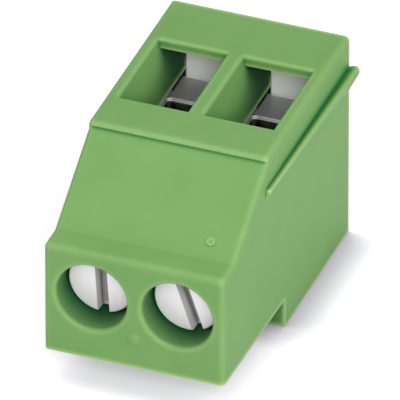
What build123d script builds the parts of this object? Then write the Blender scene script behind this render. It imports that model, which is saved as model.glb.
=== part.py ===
from build123d import *
import os

# Two-pole screw terminal for a circuit board, with the wires entering from above.
# Millimetres. X runs across the poles, -Y points at the screw heads and Z rises off the board.
# The origin lies midway between the two solder pins, on the board's surface.

# Poles
pitch = 5.08
end_margin = 0.25
pole_x = {"left": -pitch / 2, "right": pitch / 2}
body_width = len(pole_x) * pitch + 2 * end_margin
side_x = body_width / 2

# Housing outline, seen from the side
back_reach = 5.25
body_height = 13.1
axis_height = 6.2
front_underside = 2.2
underside_fall = 0.35
rear_base_front = 5.0
brow_wall = 0.92
ledge_depth = 1.7
crest_land = 2.9
crest_step = 0.5
crest_setback = 0.12
groove_share = 0.55
groove_depth = 0.16
edge_round = 0.35
side_round = 0.3
ledge_round = 0.9

# Guide rib on the right flank
rib_lead = 0.2
rib_height = 0.62
rib_depth = 1.98
rib_hook = 0.2
rib_nose = 0.5
rib_drop = 1.6
rib_round = 0.22
rib_taper = 0.45
rib_end_round = 0.08
rib_sink = 0.2

# Walls inside the housing
back_wall = 0.65
screw_web = 1.6
lip_thickness = 0.6
step_wall = 0.8
running_clearance = 0.1
seat_clearance = 0.05
cut_overrun = 1.0

# Moulding pip low on the front face, and gate mark low on the slope
pip_radius = 0.42
pip_height = 0.16
pip_drop = 2.1
gate_radius = 0.24
gate_height = 0.06
gate_offset = 1.05
gate_rise = 0.9

# Wire entries in the top face
entry_wall = 0.88
entry_depth = 6.3
entry_bevel = 0.1
throat_width = 2.7
headroom = 0.6

# Clamp screw
head_radius = 1.98
head_height = 1.8
head_recess = 1.7
head_round = 0.14
head_clearance = 0.12
mouth_round = 0.2
slot_width = 0.7
slot_depth = 0.85
slot_tilt = {"left": 3.5, "right": 19.0}
shank_radius = 1.45
tip_chamfer = 0.3
shank_clearance = 0.07

# Clamp sleeve
thread_clearance = 0.05
sleeve_height = 5.9
sleeve_side_wall = 0.5
sleeve_front_wall = 1.6
sleeve_rear_wall = 0.8
sleeve_corner = 0.5
sleeve_inner_corner = 0.3
sleeve_mouth_chamfer = 0.12
guard_length = 1.63
guard_thickness = 0.5
guard_gap = 0.12
wire_space = 3.7
bar_room = 1.2
stop_gap = 0.2

# Solder contact
strip_thickness = 0.6
bend_radius = 0.3
strip_corner = 0.25
base_lift = 0.5
bar_short = 0.2
plate_short = 0.15
pin_radius = 0.55
pin_length = 3.5
pin_taper = 0.25

# Places along Y, worked out from the back wall towards the screw heads
chamber_back = back_reach - back_wall
plate_front = chamber_back - seat_clearance - strip_thickness
guard_end = plate_front - guard_gap
sleeve_back = guard_end - guard_length
clamp_face = sleeve_back - sleeve_rear_wall
entry_back = clamp_face - running_clearance
entry_front = entry_back - entry_depth
bar_back = clamp_face - wire_space
bar_front = bar_back - strip_thickness
screw_tip = bar_front - seat_clearance
sleeve_inner_front = bar_front - bar_room
sleeve_front = sleeve_inner_front - sleeve_front_wall
sleeve_travel = wire_space - seat_clearance
pocket_front = sleeve_front - sleeve_travel - stop_gap
bore_bottom = pocket_front - screw_web
head_back = bore_bottom - seat_clearance
head_front = head_back - head_height
front_reach = head_recess - head_front
mouth_front = step_wall - rear_base_front

# Places across X and along Z
sleeve_inner_width = 2 * (shank_radius + running_clearance)
strip_width = sleeve_inner_width - 2 * running_clearance
sleeve_width = sleeve_inner_width + 2 * sleeve_side_wall
chamber_width = sleeve_width + 2 * running_clearance
sleeve_bottom = axis_height - sleeve_height / 2
sleeve_top = axis_height + sleeve_height / 2
chamber_floor = sleeve_bottom - running_clearance
throat_height = sleeve_top + headroom
entry_width = pitch - entry_wall
lip_underside = body_height - lip_thickness
funnel_lean = (entry_width - throat_width) / (body_height - throat_height)
lip_gap_width = entry_width - funnel_lean * lip_thickness
slot_front = plate_front - seat_clearance
slot_top = lip_underside - plate_short
bar_top = sleeve_top - bar_short
plate_top = slot_top - running_clearance
bore_radius = head_radius + head_clearance
front_top = axis_height + bore_radius + brow_wall
rib_top = body_height - rib_depth

os.makedirs("parts", exist_ok=True)

# Housing: one moulding with a stepped base, a sloped brow and a flat top
slope_foot = ledge_depth - front_reach
slope_head = entry_front - crest_land
rib_front = slope_head - rib_lead
slope_top = body_height - crest_step
slope_run = slope_head - slope_foot
slope_rise = slope_top - front_top
gate_centre = (
    pole_x["right"] + gate_offset,
    slope_foot + gate_rise,
    front_top + gate_rise * slope_rise / slope_run,
)
pip_ball = (pip_radius**2 + pip_height**2) / (2 * pip_height)
with BuildPart() as housing:
    with BuildSketch(Plane.YZ):
        with BuildLine():
            Polyline(
                (-front_reach, front_underside),
                (-front_reach, front_top),
                (slope_foot, front_top),
                (slope_head, slope_top),
                (slope_head + crest_setback, body_height),
                (back_reach, body_height),
                (back_reach, 0),
                (-rear_base_front, 0),
                (-rear_base_front, front_underside - underside_fall),
                close=True,
            )
        profile = make_face()
        corners = profile.vertices()
        crest = corners.group_by(Axis.Y)[-1].sort_by(Axis.X)[0]
        brow = corners.filter_by_position(Axis.Y, front_top, front_top).sort_by(Axis.X)
        fillet([crest, brow[0]], radius=edge_round)
        fillet(brow[-1], radius=ledge_round)
    extrude(amount=side_x, both=True)

    # Rounded outline of both flanks, apart from the crisp edges below and at the back
    flanks = housing.faces().filter_by(Axis.X)
    raised = flanks.edges().filter_by(lambda edge: edge.center().Z > front_underside + side_round)
    outline = raised.filter_by(lambda edge: edge.center().Y < back_reach - side_round)
    fillet(outline, radius=side_round)

    # Narrow groove under the crest, in line with the slope
    with BuildSketch(Plane.YZ):
        with BuildLine():
            Polyline(
                (slope_head, slope_top),
                (slope_head + groove_depth, slope_top + groove_depth * slope_rise / slope_run),
                (slope_head + groove_share * crest_setback, slope_top + groove_share * crest_step),
                close=True,
            )
        make_face()
    extrude(amount=side_x + cut_overrun, both=True, mode=Mode.SUBTRACT)

    # Rib along the right flank, which dwindles from the back face towards its front end
    for rib_y, share in ((back_reach, 1), (rib_front, rib_taper)):
        with BuildSketch(Plane.XZ.offset(-rib_y)):
            with BuildLine():
                Polyline(
                    (side_x - rib_sink, rib_top),
                    (side_x, rib_top),
                    (side_x + share * rib_height, rib_top + share * rib_hook),
                    (side_x + share * rib_height, rib_top + share * (rib_hook - rib_nose)),
                    (side_x, rib_top - share * rib_drop),
                    (side_x - rib_sink, rib_top - share * rib_drop),
                    close=True,
                )
            rib = make_face()
            fillet(rib.vertices().group_by(Axis.X)[-1], radius=share * rib_round)
    loft()
    rib_end = housing.faces().filter_by(Axis.Y).filter_by(
        lambda face: abs(face.center().Y - rib_front) < seat_clearance
    )
    rib_end_edges = rib_end.edges().filter_by(lambda edge: edge.center().X > side_x + seat_clearance)
    fillet(rib_end_edges, radius=rib_end_round)

    # Low domed pip between the screw holes
    with Locations((0, pip_ball - pip_height - front_reach, axis_height - pip_drop)):
        Sphere(pip_ball)

    # Flat gate mark, where the plastic was fed in
    with BuildSketch(Plane(origin=gate_centre, x_dir=(1, 0, 0), z_dir=(0, -slope_rise, slope_run))):
        Circle(gate_radius)
    extrude(amount=gate_height)

    for x in pole_x.values():
        # Screw hole, then the smaller shank hole in the web behind it
        with BuildSketch(Plane.XZ.offset(front_reach)):
            with Locations((x, axis_height)):
                Circle(bore_radius)
        extrude(amount=-(front_reach + bore_bottom), mode=Mode.SUBTRACT)
        with BuildSketch(Plane.XZ.offset(-bore_bottom)):
            with Locations((x, axis_height)):
                Circle(shank_radius + shank_clearance)
        extrude(amount=-(pocket_front - bore_bottom), mode=Mode.SUBTRACT)

        # Sleeve chamber, and its mouth in the underside
        with BuildSketch(Plane.XY.offset(chamber_floor)):
            with Locations((x, (pocket_front + chamber_back) / 2)):
                Rectangle(chamber_width, chamber_back - pocket_front)
        extrude(amount=throat_height - chamber_floor, mode=Mode.SUBTRACT)
        with BuildSketch(Plane.XY):
            with Locations((x, (mouth_front + chamber_back) / 2)):
                Rectangle(chamber_width, chamber_back - mouth_front)
        extrude(amount=chamber_floor, mode=Mode.SUBTRACT)

        # Wire entry, a funnel whose front wall leans over the contact bar
        entry_corner = (x - entry_width / 2, entry_front, body_height)
        with Locations(Plane(origin=entry_corner, x_dir=(1, 0, 0), z_dir=(0, 1, 0))):
            Wedge(
                entry_width,
                body_height - throat_height,
                entry_depth,
                (entry_width - throat_width) / 2,
                bar_back - entry_front,
                (entry_width + throat_width) / 2,
                entry_depth,
                align=(Align.MIN, Align.MIN, Align.MIN),
                mode=Mode.SUBTRACT,
            )

    # Softened rims of the screw holes and the wire entries
    hole_rims = housing.edges().filter_by(GeomType.CIRCLE).filter_by(
        lambda edge: abs(edge.radius - bore_radius) < seat_clearance
    ).group_by(Axis.Y)[0]
    fillet(hole_rims, radius=mouth_round)
    top_face = housing.faces().filter_by(Axis.Z).sort_by(Axis.Z)[-1]
    entry_rims = [wire.edges() for wire in top_face.inner_wires()]
    chamfer(sum(entry_rims, ShapeList()), length=entry_bevel)

    for x in pole_x.values():
        # Pocket under the lip, between the funnel's leaning walls, and the slot for the contact's plate
        with BuildSketch(Plane.XZ.offset(-entry_back)):
            with BuildLine():
                Polyline(
                    (x - throat_width / 2, throat_height),
                    (x + throat_width / 2, throat_height),
                    (x + lip_gap_width / 2, lip_underside),
                    (x - lip_gap_width / 2, lip_underside),
                    close=True,
                )
            make_face()
        extrude(amount=entry_back - slot_front, mode=Mode.SUBTRACT)
        with BuildSketch(Plane.XY.offset(throat_height)):
            with Locations((x, (slot_front + chamber_back) / 2)):
                Rectangle(strip_width + 2 * running_clearance, chamber_back - slot_front)
        extrude(amount=slot_top - throat_height, mode=Mode.SUBTRACT)
housing.part.label = "housing"
export_step(housing.part, "parts/housing.step")

for side, x in pole_x.items():
    # Clamp screw: slotted head, plain shank and a blunt tip that bears on the contact bar
    screw_axis = Axis((x, 0, axis_height), (0, 1, 0))
    with BuildPart() as clamp_screw:
        with BuildSketch(Plane(origin=(x, 0, axis_height), x_dir=(0, 1, 0), z_dir=(1, 0, 0))):
            with BuildLine():
                Polyline(
                    (head_front, 0),
                    (head_front, head_radius),
                    (head_back, head_radius),
                    (head_back, shank_radius),
                    (screw_tip, shank_radius),
                    (screw_tip, 0),
                    close=True,
                )
            turning = make_face()
            head_rim = turning.vertices().group_by(Axis.Y)[-1].sort_by(Axis.X)[0]
            fillet(head_rim, radius=head_round)
            tip_corner = turning.vertices().group_by(Axis.X)[-1].sort_by(Axis.Y)[-1]
            chamfer(tip_corner, length=tip_chamfer)
        revolve(axis=screw_axis)
        with BuildSketch(Plane.XZ.offset(-head_front)):
            with Locations((x, axis_height)):
                Rectangle(slot_width, 2 * head_radius + cut_overrun, rotation=slot_tilt[side])
        extrude(amount=-slot_depth, mode=Mode.SUBTRACT)
    clamp_screw.part.label = f"clamp_screw_{side}"
    export_step(clamp_screw.part, f"parts/clamp_screw_{side}.step")

    # Clamp sleeve: a square tube round the contact bar, threaded in front and guarded behind
    with BuildPart() as clamp_sleeve:
        with BuildSketch(Plane.XY.offset(sleeve_bottom)):
            with Locations((x, (sleeve_front + sleeve_back) / 2)):
                RectangleRounded(sleeve_width, sleeve_back - sleeve_front, sleeve_corner)
            with Locations((x, (sleeve_inner_front + clamp_face) / 2)):
                RectangleRounded(
                    sleeve_inner_width,
                    clamp_face - sleeve_inner_front,
                    sleeve_inner_corner,
                    mode=Mode.SUBTRACT,
                )
        extrude(amount=sleeve_height)
        rim_wire = clamp_sleeve.faces().sort_by(Axis.Z)[-1].inner_wires()[0]
        chamfer(rim_wire.edges(), length=sleeve_mouth_chamfer)
        with BuildSketch(Plane.XZ.offset(-sleeve_front)):
            with Locations((x, axis_height)):
                Circle(shank_radius + thread_clearance)
        extrude(amount=-(sleeve_front_wall + sleeve_inner_corner), mode=Mode.SUBTRACT)
        with BuildSketch(Plane.XY.offset(sleeve_top)):
            with Locations((x, (clamp_face + sleeve_rear_wall / 2 + guard_end) / 2)):
                Rectangle(sleeve_inner_width, guard_end - clamp_face - sleeve_rear_wall / 2)
        extrude(amount=-guard_thickness)
    clamp_sleeve.part.label = f"clamp_sleeve_{side}"
    export_step(clamp_sleeve.part, f"parts/clamp_sleeve_{side}.step")

    # Solder contact: a strip folded into a U, with the pin standing down from its base
    bar_line = bar_back - strip_thickness / 2
    base_line = base_lift + strip_thickness / 2
    plate_line = plate_front + strip_thickness / 2
    with BuildPart() as solder_contact:
        with BuildLine():
            FilletPolyline(
                (x, bar_line, bar_top),
                (x, bar_line, base_line),
                (x, plate_line, base_line),
                (x, plate_line, plate_top),
                radius=bend_radius + strip_thickness / 2,
            )
        with BuildSketch(Plane(origin=(x, bar_line, bar_top), x_dir=(1, 0, 0), z_dir=(0, 0, -1))):
            Rectangle(strip_width, strip_thickness)
        sweep()
        upright_ends = solder_contact.edges().filter_by(Axis.Y).filter_by(
            lambda edge: edge.center().Z > axis_height
        )
        fillet(upright_ends, radius=strip_corner)
        with BuildSketch(Plane.XY.offset(base_line)):
            with Locations((x, 0)):
                Circle(pin_radius)
        extrude(amount=-(base_line + pin_length))
        chamfer(solder_contact.edges().sort_by(Axis.Z)[0], length=pin_taper)
    solder_contact.part.label = f"solder_contact_{side}"
    export_step(solder_contact.part, f"parts/solder_contact_{side}.step")
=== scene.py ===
# %% [markdown]
# A two-pole screw terminal for a circuit board.
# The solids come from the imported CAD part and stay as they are. This lesson gives them their finishes,
# breaks the edges of the contacts, cuts the thread on the clamp screws, and sets up the light and the camera.

# %% Load the solids
import math

import bmesh
import bpy
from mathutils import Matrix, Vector


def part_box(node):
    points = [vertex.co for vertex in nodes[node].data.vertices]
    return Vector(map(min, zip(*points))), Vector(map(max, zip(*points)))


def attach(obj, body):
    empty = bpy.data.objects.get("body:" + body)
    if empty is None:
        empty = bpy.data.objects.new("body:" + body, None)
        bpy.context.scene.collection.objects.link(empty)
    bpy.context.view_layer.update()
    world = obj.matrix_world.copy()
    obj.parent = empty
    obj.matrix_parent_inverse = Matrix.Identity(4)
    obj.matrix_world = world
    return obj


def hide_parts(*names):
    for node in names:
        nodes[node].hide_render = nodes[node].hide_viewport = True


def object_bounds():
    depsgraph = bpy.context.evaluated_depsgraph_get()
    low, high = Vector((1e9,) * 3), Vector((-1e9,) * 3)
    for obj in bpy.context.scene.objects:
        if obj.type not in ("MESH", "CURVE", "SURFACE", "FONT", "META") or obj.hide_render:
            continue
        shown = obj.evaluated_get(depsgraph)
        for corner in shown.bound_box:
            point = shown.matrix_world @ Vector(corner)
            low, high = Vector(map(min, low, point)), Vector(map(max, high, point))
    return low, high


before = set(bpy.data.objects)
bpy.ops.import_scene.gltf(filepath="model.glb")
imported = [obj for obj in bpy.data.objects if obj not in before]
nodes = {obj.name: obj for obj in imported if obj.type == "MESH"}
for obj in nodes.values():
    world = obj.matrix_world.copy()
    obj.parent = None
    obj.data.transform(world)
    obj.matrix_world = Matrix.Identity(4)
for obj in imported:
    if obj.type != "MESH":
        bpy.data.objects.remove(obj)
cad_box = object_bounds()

MM = 0.001
print("solids:", sorted(nodes))

# %% [markdown]
# Sizes that the later cells share. They are measured on the solids, so they follow the part when it is
# resized. The pole pitch is the distance between the two screws, and the housing's flat foot shows where the
# board lies.

# %% Measure the solids
SIDES = ("left", "right")
screw_box = {side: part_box(f"clamp_screw_{side}") for side in SIDES}
screw_centre = {side: (low + high) / 2 for side, (low, high) in screw_box.items()}
half_pitch = (screw_centre["right"].x - screw_centre["left"].x) / 2
axis_z = screw_centre["left"].z
board_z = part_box("housing")[0].z
print("half pitch", round(half_pitch / MM, 2), "mm, board at", round(board_z / MM, 2), "mm")

# %% [markdown]
# Node helpers. A material is a small graph, and these functions keep its cells short: one adds a node with its
# settings, one does a single calculation, one makes an empty node group with named sockets, and one turns a
# picture's colour steps into the linear values that shaders use.


# %% Helpers for shader graphs
def add_node(tree, kind, inputs=None, **settings):
    """A node with its settings, whose inputs take a value or another node's output."""
    node = tree.nodes.new(kind)
    for name, value in settings.items():
        setattr(node, name, value)
    for name, value in (inputs or {}).items():
        socket = node.inputs[name]
        if isinstance(value, bpy.types.NodeSocket):
            tree.links.new(value, socket)
        else:
            socket.default_value = value
    return node


def maths(tree, operation, *values):
    """The output of one Math node."""
    return add_node(tree, "ShaderNodeMath", dict(enumerate(values)), operation=operation).outputs[0]


def new_group(name, inputs, outputs):
    """An empty shader group with float sockets of these names."""
    group = bpy.data.node_groups.new(name, "ShaderNodeTree")
    for label, value in inputs.items():
        socket = group.interface.new_socket(label, in_out="INPUT", socket_type="NodeSocketFloat")
        socket.default_value = value
    for label in outputs:
        group.interface.new_socket(label, in_out="OUTPUT", socket_type="NodeSocketFloat")
    return group, group.nodes.new("NodeGroupInput"), group.nodes.new("NodeGroupOutput")


def linear(red, green, blue):
    """A colour given in the 0 to 255 steps of a picture, as Blender's linear values."""
    return tuple(((c / 255 + 0.055) / 1.055) ** 2.4 for c in (red, green, blue)) + (1.0,)


# %% [markdown]
# Surface grain. Moulded nylon and plated metal are never quite even: there is a fine grain that the light
# catches, and a broad mottle where the surface cooled or was handled. Two noises of different size give both.
# Object coordinates keep the grain fixed to the piece, and its size is given in millimetres.


# %% Group: surface grain
def build_surface_grain():
    inputs = {"Grain mm": 0.06, "Mottle mm": 2.5}
    group, entry, result = new_group("surface_grain", inputs, ("Grain", "Mottle"))
    place = add_node(group, "ShaderNodeTexCoord").outputs["Object"]
    for output, detail in (("Grain", 2.0), ("Mottle", 3.0)):
        scale = maths(group, "DIVIDE", 1.0 / MM, entry.outputs[f"{output} mm"])
        noise = add_node(group, "ShaderNodeTexNoise",
                         {"Vector": place, "Scale": scale, "Detail": detail, "Roughness": 0.55})
        group.links.new(noise.outputs["Fac"], result.inputs[output])
    return group


surface_grain = build_surface_grain()
print("group", surface_grain.name)

# %% [markdown]
# Edges, corners and nooks. These masks paint light and shade into colours: a painted highlight on outer edges,
# and a painted shade in hollows, which look darker because what light gets there has already met their walls.
# One shader node serves all three masks: it asks how much of the space near a point is closed. For edges it
# looks into the solid. For corners it counts only the piece's own shape, so the floor beside a wall doesn't
# darken it. For nooks it counts the neighbours too, such as the screw head at the bottom of its hole.


# %% Group: edges, corners and nooks
def build_edges_and_corners():
    inputs = {"Edge mm": 0.3, "Corner mm": 1.2, "Nook mm": 1.2}
    group, entry, result = new_group("edges_and_corners", inputs, ("Edge", "Corner", "Nook"))
    for output, inward, alone in (("Edge", True, True), ("Corner", False, True), ("Nook", False, False)):
        reach = maths(group, "MULTIPLY", entry.outputs[f"{output} mm"], MM)
        open_share = add_node(group, "ShaderNodeAmbientOcclusion", {"Distance": reach},
                              samples=8, inside=inward, only_local=alone)
        mask = maths(group, "SUBTRACT", 1.0, open_share.outputs["AO"])
        group.links.new(mask, result.inputs[output])
    return group


edges_and_corners = build_edges_and_corners()
print("group", edges_and_corners.name)

# %% [markdown]
# Drawn lines. The sleeves and contacts are stamped from rolled strip, which keeps faint parallel lines.
# A noise that is stretched along one direction gives such lines. Here they run along the height of the strip.


# %% Group: drawn lines
def build_drawn_lines():
    group, entry, result = new_group("drawn_lines", {"Spacing mm": 0.05, "Length mm": 3.0}, ("Lines",))
    place = add_node(group, "ShaderNodeTexCoord").outputs["Object"]
    across = maths(group, "DIVIDE", 1.0 / MM, entry.outputs["Spacing mm"])
    along = maths(group, "DIVIDE", 1.0 / MM, entry.outputs["Length mm"])
    stretch = add_node(group, "ShaderNodeCombineXYZ", {"X": across, "Y": across, "Z": along})
    scaled = add_node(group, "ShaderNodeVectorMath", {0: place, 1: stretch.outputs[0]}, operation="MULTIPLY")
    noise = add_node(group, "ShaderNodeTexNoise", {"Vector": scaled.outputs[0], "Scale": 1.0, "Detail": 2.0})
    group.links.new(noise.outputs["Fac"], result.inputs["Lines"])
    return group


drawn_lines = build_drawn_lines()
print("group", drawn_lines.name)

# %% [markdown]
# Starting a material. Each finish is one Principled shader. What is even all over is set on its own sockets.
# What changes over the surface comes from the groups, through a colour mix or a value spread over a range.


# %% Helpers for materials
def new_material(name, **shader_values):
    """A material with one Principled shader whose even values are set on its own sockets."""
    material = bpy.data.materials.new(name)
    material.use_nodes = True
    shader = material.node_tree.nodes["Principled BSDF"]
    for label, value in shader_values.items():
        shader.inputs[label.replace("_", " ")].default_value = value
    return material, material.node_tree, shader


def place_group(tree, group, **values):
    """A group in this material, with its own values."""
    node = add_node(tree, "ShaderNodeGroup", node_tree=group)
    for label, value in values.items():
        node.inputs[label.replace("_", " ")].default_value = value
    return node


def mix_colour(tree, amount, first, second):
    """The output of a colour mix between two colours or outputs."""
    return add_node(tree, "ShaderNodeMix", {0: amount, 6: first, 7: second}, data_type="RGBA").outputs[2]


def spread(tree, value, low, high):
    """A 0 to 1 value spread over another range."""
    return add_node(tree, "ShaderNodeMapRange", {"Value": value, "To Min": low, "To Max": high}).outputs[0]


def add_relief(tree, shader, height, strength, depth):
    """A fine relief, as a bump on the shader's normal."""
    bump = add_node(tree, "ShaderNodeBump", {"Height": height, "Strength": strength, "Distance": depth})
    tree.links.new(bump.outputs[0], shader.inputs["Normal"])


# %% [markdown]
# Green moulding. The housing is satin nylon in a leaf green. Its colour drifts very slightly with the flow
# of the melt, and a fine grain breaks the gloss. Its edges get a painted highlight, a paler green. Its hollows
# get a painted shade, a deeper green, darkest where a screw head or a strip closes them. The lamps alone leave
# these hollows too light.


# %% Material: housing
def make_housing_green():
    material, tree, shader = new_material("housing_green", IOR=1.45, Specular_IOR_Level=0.1)
    grain = place_group(tree, surface_grain, Grain_mm=0.09, Mottle_mm=3.0)
    shape = place_group(tree, edges_and_corners, Edge_mm=0.3, Corner_mm=3.0, Nook_mm=4.5)
    # Painted shade: hollows turn a deeper green, and nooks closed by a head or a strip turn nearly dark green.
    hollow_shade_share = spread(tree, shape.outputs["Corner"], -0.42, 2.8)
    nook_shade_share = spread(tree, shape.outputs["Nook"], -1.7, 1.6)
    # Painted highlight: edges turn a paler green.
    edge_highlight_share = spread(tree, shape.outputs["Edge"], 0.0, 1.5)
    drift = mix_colour(tree, grain.outputs["Mottle"], linear(109, 155, 86), linear(125, 168, 101))
    deep = mix_colour(tree, hollow_shade_share, drift, linear(74, 142, 80))
    nook = mix_colour(tree, nook_shade_share, deep, linear(4, 74, 36))
    colour = mix_colour(tree, edge_highlight_share, nook, linear(176, 210, 138))
    tree.links.new(colour, shader.inputs["Base Color"])
    tree.links.new(spread(tree, grain.outputs["Mottle"], 0.42, 0.56), shader.inputs["Roughness"])
    add_relief(tree, shader, grain.outputs["Grain"], strength=0.12, depth=0.02 * MM)
    return material


housing_green = make_housing_green()
print("material", housing_green.name)

# %% [markdown]
# Bright zinc. The screws are turned from steel and zinc plated. The lathe leaves fine rings round the axis.
# The rings are a sine of the distance from the nearest screw axis: taking the size of X makes one formula
# serve both poles. The slot gets a painted shade: it is darker and warm brown.

# %% Material: screws
LATHE_RING = 0.11 * MM


def lathe_rings(tree):
    """A sine wave outwards from the nearest screw axis."""
    place = add_node(tree, "ShaderNodeTexCoord").outputs["Object"]
    split = add_node(tree, "ShaderNodeSeparateXYZ", {0: place})
    off_x = maths(tree, "SUBTRACT", maths(tree, "ABSOLUTE", split.outputs["X"]), half_pitch)
    off_z = maths(tree, "SUBTRACT", split.outputs["Z"], axis_z)
    flat = add_node(tree, "ShaderNodeCombineXYZ", {"X": off_x, "Y": off_z})
    radius = add_node(tree, "ShaderNodeVectorMath", {0: flat.outputs[0]}, operation="LENGTH")
    return maths(tree, "SINE", maths(tree, "MULTIPLY", radius.outputs["Value"], math.tau / LATHE_RING))


def make_screw_zinc():
    material, tree, shader = new_material("screw_zinc", Metallic=0.15)
    grain = place_group(tree, surface_grain, Grain_mm=0.05, Mottle_mm=0.9)
    shape = place_group(tree, edges_and_corners, Corner_mm=0.7)
    # Painted shade in the slot, darker and warm brown.
    slot_shade_share = spread(tree, shape.outputs["Corner"], -0.2, 2.0)
    plated = mix_colour(tree, grain.outputs["Mottle"], linear(252, 245, 251), linear(255, 250, 255))
    tree.links.new(mix_colour(tree, slot_shade_share, plated, linear(76, 70, 36)), shader.inputs["Base Color"])
    tree.links.new(spread(tree, grain.outputs["Mottle"], 0.4, 0.55), shader.inputs["Roughness"])
    add_relief(tree, shader, lathe_rings(tree), strength=0.1, depth=0.004 * MM)
    return material


screw_zinc = make_screw_zinc()
print("material", screw_zinc.name)

# %% [markdown]
# Dull nickel and tin. The sleeves are nickel plated steel and the contacts are tinned copper alloy.
# Both keep the lines of the rolled strip. The edge mask makes their rims fully metallic, as a sheared edge is,
# and gives them a painted highlight in near white. The corner mask makes the space for the wire nearly black,
# since little light comes back out of it.


# %% Materials: sleeves and contacts
def make_strip_metal(name, metallic, dark, pale, roughness, rim_highlight_colour):
    material, tree, shader = new_material(name, Specular_IOR_Level=0.1)
    lines = place_group(tree, drawn_lines, Spacing_mm=0.06, Length_mm=2.5).outputs["Lines"]
    shape = place_group(tree, edges_and_corners, Edge_mm=0.12, Corner_mm=3.0)
    in_wire_space = spread(tree, shape.outputs["Corner"], -0.2, 5.0)
    # Painted highlight on the rims: near white, and fully metallic.
    rim_highlight_share = spread(tree, shape.outputs["Edge"], -0.2, 4.5)
    deep = mix_colour(tree, in_wire_space, mix_colour(tree, lines, dark, pale), linear(8, 9, 8))
    tree.links.new(mix_colour(tree, rim_highlight_share, deep, rim_highlight_colour), shader.inputs["Base Color"])
    tree.links.new(spread(tree, rim_highlight_share, metallic, 1.0), shader.inputs["Metallic"])
    tree.links.new(spread(tree, lines, *roughness), shader.inputs["Roughness"])
    add_relief(tree, shader, lines, strength=0.1, depth=0.006 * MM)
    return material


sleeve_nickel = make_strip_metal(
    "sleeve_nickel",
    metallic=0.45,
    dark=linear(158, 157, 158),
    pale=linear(186, 184, 185),
    roughness=(0.4, 0.55),
    rim_highlight_colour=linear(255, 254, 250),
)
contact_tin = make_strip_metal(
    "contact_tin",
    metallic=0.1,
    dark=linear(240, 239, 237),
    pale=linear(252, 251, 250),
    roughness=(0.5, 0.65),
    rim_highlight_colour=linear(253, 252, 250),
)
print("materials", sleeve_nickel.name, contact_tin.name)

# %% [markdown]
# Each solid takes its finish. The table also holds the slot names of the part's record, which are not used
# here.
# A pole's left and right piece share one finish, so the side is taken off the name to look it up.

# %% Dress the solids
finishes = {
    "housing": (housing_green, "housing_plastic"),
    "clamp_screw": (screw_zinc, "screw_steel"),
    "clamp_sleeve": (sleeve_nickel, "sleeve_steel"),
    "solder_contact": (contact_tin, "contact_metal"),
}


def finish_piece(piece, finish):
    """One material all over a piece; its record slot name is looked up but not used."""
    material, slot_name = finishes[finish]
    piece.data.materials.clear()
    piece.data.materials.append(material)


for name, node in nodes.items():
    finish_piece(node, name.removesuffix("_left").removesuffix("_right"))
print("dressed", len(nodes), "solids")

# %% [markdown]
# Rolled strip edges. Stamping rolls the edges of a strip over a little, and here that matters: at the end of
# the stroke the sleeve's rounded inner corners close round the contact bar, which has to clear them.
# A weld joins the solid's triangles, a planar decimate makes whole faces of them, and a bevel breaks the edges.

# %% Contact edges
ROLLED_EDGE = 0.06 * MM
WELD_REACH = 0.0005 * MM
FLAT_ANGLE = math.radians(1)
SHARP_ANGLE = math.radians(40)
for side in SIDES:
    contact = nodes[f"solder_contact_{side}"]
    weld = contact.modifiers.new("weld", "WELD")
    weld.merge_threshold = WELD_REACH
    whole = contact.modifiers.new("whole_faces", "DECIMATE")
    whole.decimate_type = "DISSOLVE"
    whole.angle_limit = FLAT_ANGLE
    rolled = contact.modifiers.new("rolled_edge", "BEVEL")
    rolled.width = ROLLED_EDGE
    rolled.segments = 1
    rolled.use_clamp_overlap = False
    rolled.limit_method = "ANGLE"
    rolled.angle_limit = SHARP_ANGLE
print("rolled edges", ROLLED_EDGE / MM, "mm")

# %% [markdown]
# Thread profile. In CAD the shank is a plain cylinder of the thread's outer diameter. A swept helix is one way
# to thread it, but it leaves open ends. Here the shank becomes a grid of rings whose radius follows the thread:
# the phase is the distance along the axis less the share of a turn, so the groove climbs one pitch per turn,
# right-handed. Below the head it runs in from nothing, and the tip is blunt.

# %% Thread profile
THREAD_PITCH = 0.5 * MM
GROOVE_DEPTH = 0.24 * MM
CREST_SHARE = 0.14
FLANK_SHARE = 0.62
PLAIN_NECK = 0.45 * MM
RUN_IN = 0.3 * MM
TIP_CHAMFER = 0.3 * MM
RING_STEPS = 12


def groove(phase):
    """How deep the groove is at this phase, from 0 on the crest to 1 at the root."""
    climb = abs((phase % 1.0) * 2 - 1)
    return min(1.0, max(0.0, (climb - CREST_SHARE) / FLANK_SHARE))


def shank_radius(along, turn, length, outer):
    """The shank's radius at a distance below the head and a share of a turn."""
    run_in = min(1.0, max(0.0, (along - PLAIN_NECK) / RUN_IN))
    radius = outer - GROOVE_DEPTH * groove(along / THREAD_PITCH - turn) * run_in
    blunt_tip = outer - TIP_CHAMFER + (length - along)
    return min(radius, blunt_tip)


print("thread pitch", THREAD_PITCH / MM, "mm, groove", GROOVE_DEPTH / MM, "mm deep")

# %% [markdown]
# Head and shank. The slotted head is kept from the solid, and only the plain shank is cut away. The rim that
# stays open is the first ring of the new shank, so that head and thread are one closed mesh. A separate shank
# pushed into the head would look the same, but its hidden faces would cross the head's.

# %% Head and shank
FACE_SLACK = 0.01 * MM


def head_of(node, under_head):
    """The head of a screw, taken from a copy of its solid and left open where the shank begins."""
    work = bmesh.new()
    work.from_mesh(node.data)
    bmesh.ops.remove_doubles(work, verts=work.verts, dist=WELD_REACH)
    shank = [face for face in work.faces if max(v.co.y for v in face.verts) > under_head + FACE_SLACK]
    bmesh.ops.delete(work, geom=shank, context="FACES")
    return work


def open_rim(work, centre):
    """The points of the rim where the shank begins, in order round the axis, with their shares of a turn."""
    rim_edges = [edge for edge in work.edges if edge.is_boundary]
    bmesh.ops.subdivide_edges(work, edges=rim_edges, cuts=1)
    rim = {vert for edge in work.edges if edge.is_boundary for vert in edge.verts}
    turns = {vert: math.atan2(vert.co.x - centre.x, vert.co.z - centre.z) / math.tau % 1.0 for vert in rim}
    ordered = sorted(rim, key=turns.get)
    return ordered, [turns[vert] for vert in ordered]


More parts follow.
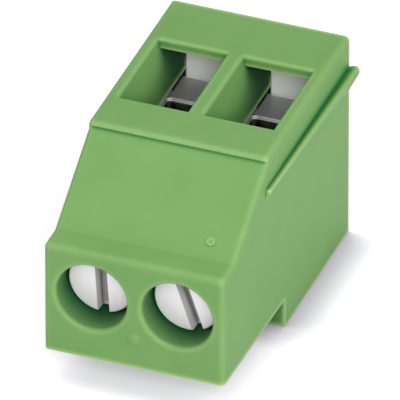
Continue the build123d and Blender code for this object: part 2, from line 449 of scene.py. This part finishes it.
def add_shank(work, centre, start, length, outer):
    """Rings of points along the axis, joined by faces from the head's rim on, and closed at the tip."""
    rim, turns = open_rim(work, centre)

    def place(along, turn):
        radius = shank_radius(along, turn, length, outer)
        side, up = math.sin(math.tau * turn), math.cos(math.tau * turn)
        return Vector((centre.x + radius * side, start + along, centre.z + radius * up))

    for vert, turn in zip(rim, turns):
        vert.co = place(0.0, turn)
    count = round(length / THREAD_PITCH * RING_STEPS)
    rings = [rim]
    for i in range(1, count + 1):
        rings.append([work.verts.new(place(length * i / count, turn)) for turn in turns])
    for near, far in zip(rings, rings[1:]):
        for k in range(len(turns)):
            work.faces.new((near[k - 1], near[k], far[k], far[k - 1]))
    work.faces.new(rings[-1])


# %% [markdown]
# Threaded screws. Each screw takes the place of its solid and rides on the same body, so it turns with the
# joint. The radius of the shank and the underside of the head are read from the solid's own points.

# %% Screws with a thread
TIP_LENGTH = 0.5 * MM
HEAD_STEP = 0.1 * MM
SMOOTH_ANGLE = math.radians(20)


def shank_sizes(side):
    """The shank's outer radius and the place of the head's underside."""
    centre = screw_centre[side]
    vertices = nodes[f"clamp_screw_{side}"].data.vertices
    points = [(v.co.y, math.hypot(v.co.x - centre.x, v.co.z - axis_z)) for v in vertices]
    tip = screw_box[side][1].y
    outer = max(radius for y, radius in points if y > tip - TIP_LENGTH)
    under_head = max(y for y, radius in points if radius > outer + HEAD_STEP)
    return outer, under_head, tip - under_head


def make_threaded_screw(side):
    """One screw with its head from the solid and a threaded shank."""
    outer, under_head, length = shank_sizes(side)
    work = head_of(nodes[f"clamp_screw_{side}"], under_head)
    add_shank(work, screw_centre[side], under_head, length, outer)
    bmesh.ops.recalc_face_normals(work, faces=work.faces)
    mesh = bpy.data.meshes.new(f"threaded_screw_{side}")
    work.to_mesh(mesh)
    work.free()
    mesh.shade_smooth()
    mesh.set_sharp_from_angle(angle=SMOOTH_ANGLE)
    screw = bpy.data.objects.new(f"threaded_screw_{side}", mesh)
    bpy.context.scene.collection.objects.link(screw)
    finish_piece(screw, "clamp_screw")
    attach(screw, f"screw_{side}")
    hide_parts(f"clamp_screw_{side}")
    print(screw.name, "outer radius", round(outer / MM, 3), "mm,", len(mesh.polygons), "faces")


for side in SIDES:
    make_threaded_screw(side)

# %% [markdown]
# The floor takes the place of the circuit board: the housing's foot rests on it and the pins go through it.
# It is plain white. A part of its brightness is given only to the camera and to surfaces that mirror it,
# so that it fills out to white and still keeps the part's shadow. The lamps alone give a faint shadow, so the
# floor is also shaded close to the part. There the node that asks how much space is closed leans to the left
# and back, which puts the shade on the right and in front. From below, the floor is plain.

# %% Floor
WHITE = (1.0, 1.0, 1.0, 1.0)
FLOOR_REACH = 1.5
FLOOR_GAP = 0.02 * MM
FLOOR_GLOW = 0.46
OPEN_FLOOR = (0.86, 0.83, 0.88, 1.0)
SHADED_FLOOR = (0.44, 0.38, 0.5, 1.0)
SHADE_REACH = 2.4 * MM
SHADE_LEAN = {"X": -0.6, "Y": 0.4, "Z": 0.69}
FULL_SHADE = 0.25


def seen_share(tree):
    """1 for rays from the camera and from surfaces that mirror or let light through, 0 for the rest."""
    rays = add_node(tree, "ShaderNodeLightPath").outputs
    mirrored = maths(tree, "MAXIMUM", rays["Is Glossy Ray"], rays["Is Transmission Ray"])
    return maths(tree, "MAXIMUM", rays["Is Camera Ray"], mirrored)


def open_floor_share(tree):
    """1 on the open floor and on its underside, down to 0 close to the part."""
    lean = add_node(tree, "ShaderNodeCombineXYZ", SHADE_LEAN)
    near = add_node(tree, "ShaderNodeAmbientOcclusion",
                    {"Distance": SHADE_REACH, "Normal": lean.outputs[0]}, samples=16)
    above = add_node(tree, "ShaderNodeMapRange", {"Value": near.outputs["AO"], "From Min": FULL_SHADE})
    below = add_node(tree, "ShaderNodeNewGeometry").outputs["Backfacing"]
    return maths(tree, "MAXIMUM", above.outputs[0], below)


def make_floor_white():
    material, tree, shader = new_material("floor_white", Roughness=0.9, Specular_IOR_Level=0.0)
    open_share = open_floor_share(tree)
    tree.links.new(mix_colour(tree, open_share, SHADED_FLOOR, OPEN_FLOOR), shader.inputs["Base Color"])
    strength = spread(tree, open_share, 0.0, FLOOR_GLOW)
    glow = add_node(tree, "ShaderNodeEmission", {"Color": WHITE, "Strength": strength})
    both = add_node(tree, "ShaderNodeAddShader", {0: shader.outputs[0], 1: glow.outputs[0]})
    choice = add_node(tree, "ShaderNodeMixShader",
                      {0: seen_share(tree), 1: shader.outputs[0], 2: both.outputs[0]})
    tree.links.new(choice.outputs[0], tree.nodes["Material Output"].inputs["Surface"])
    return material


def make_floor():
    mesh = bpy.data.meshes.new("floor")
    height = board_z - FLOOR_GAP
    corners = [(x * FLOOR_REACH, y * FLOOR_REACH, height) for x, y in ((-1, -1), (1, -1), (1, 1), (-1, 1))]
    mesh.from_pydata(corners, [], [(0, 1, 2, 3)])
    floor = bpy.data.objects.new("floor", mesh)
    bpy.context.scene.collection.objects.link(floor)
    mesh.materials.append(make_floor_white())


make_floor()
print("floor at", round(board_z / MM, 2), "mm")

# %% [markdown]
# Studio light. A white room gives the even base. The key lamp hangs beside the camera, so that its light
# reaches whatever the camera sees at the bottom of the holes and funnels. A second box on the upper right
# lights the flank and the top, and a weaker one above on the left softens the shadows.

# %% Light
ROOM_SHARE = 0.3
LAMP_DISTANCE = 0.25


def make_world():
    world = bpy.data.worlds.new("white_room")
    bpy.context.scene.world = world
    world.use_nodes = True
    tree = world.node_tree
    background = tree.nodes["Background"]
    background.inputs["Color"].default_value = WHITE
    tree.links.new(spread(tree, seen_share(tree), ROOM_SHARE, 1.0), background.inputs["Strength"])


def add_soft_box(name, towards, width, share):
    """A square lamp that lights a face which looks straight at it by this share of full white."""
    direction = Vector(towards).normalized()
    lamp = bpy.data.lights.new(name, "AREA")
    lamp.shape = "SQUARE"
    lamp.size = width
    lamp.energy = share * (math.pi * LAMP_DISTANCE) ** 2
    box = bpy.data.objects.new(name, lamp)
    box.location = (cad_box[0] + cad_box[1]) / 2 + direction * LAMP_DISTANCE
    box.rotation_euler = direction.to_track_quat("Z", "Y").to_euler()
    bpy.context.scene.collection.objects.link(box)
    return box


make_world()
soft_boxes = [
    add_soft_box("front_box", towards=(0.29, -0.78, 0.56), width=0.1, share=0.53),
    add_soft_box("right_box", towards=(0.76, -0.05, 0.65), width=0.2, share=0.48),
    add_soft_box("top_box", towards=(-0.5, 0.0, 0.87), width=0.15, share=0.26),
]
print("lamps", [box.name for box in soft_boxes])

# %% [markdown]
# Camera. The view is from above the screw side and a little from the right. A long lens far away keeps the
# edges parallel, as in a catalogue picture.

# %% Camera
AZIMUTH = math.radians(20.7)
ELEVATION = math.radians(34.0)
VIEW_WIDTH = 22.30 * MM
VIEW_CENTRE = Vector((0.0, -4.85 * MM, 6.6 * MM))
SHIFT_RIGHT = 0.195 * MM
SHIFT_UP = 0.485 * MM
LENS = 1600.0
SENSOR = 36.0
level = math.cos(ELEVATION)
to_camera = Vector((math.sin(AZIMUTH) * level, -math.cos(AZIMUTH) * level, math.sin(ELEVATION)))
to_right = Vector((math.cos(AZIMUTH), math.sin(AZIMUTH), 0.0))
to_up = to_camera.cross(to_right)
aim = VIEW_CENTRE + to_right * SHIFT_RIGHT + to_up * SHIFT_UP
lens = bpy.data.cameras.new("camera")
lens.lens = LENS
lens.sensor_width = SENSOR
lens.clip_start = 0.01
lens.clip_end = 10.0
camera = bpy.data.objects.new("camera", lens)
camera.location = aim + to_camera * VIEW_WIDTH * LENS / SENSOR
camera.rotation_euler = to_camera.to_track_quat("Z", "Y").to_euler()
bpy.context.scene.collection.objects.link(camera)
bpy.context.scene.camera = camera
bpy.context.scene.view_settings.view_transform = "Standard"
print("camera", [round(c, 4) for c in camera.location])
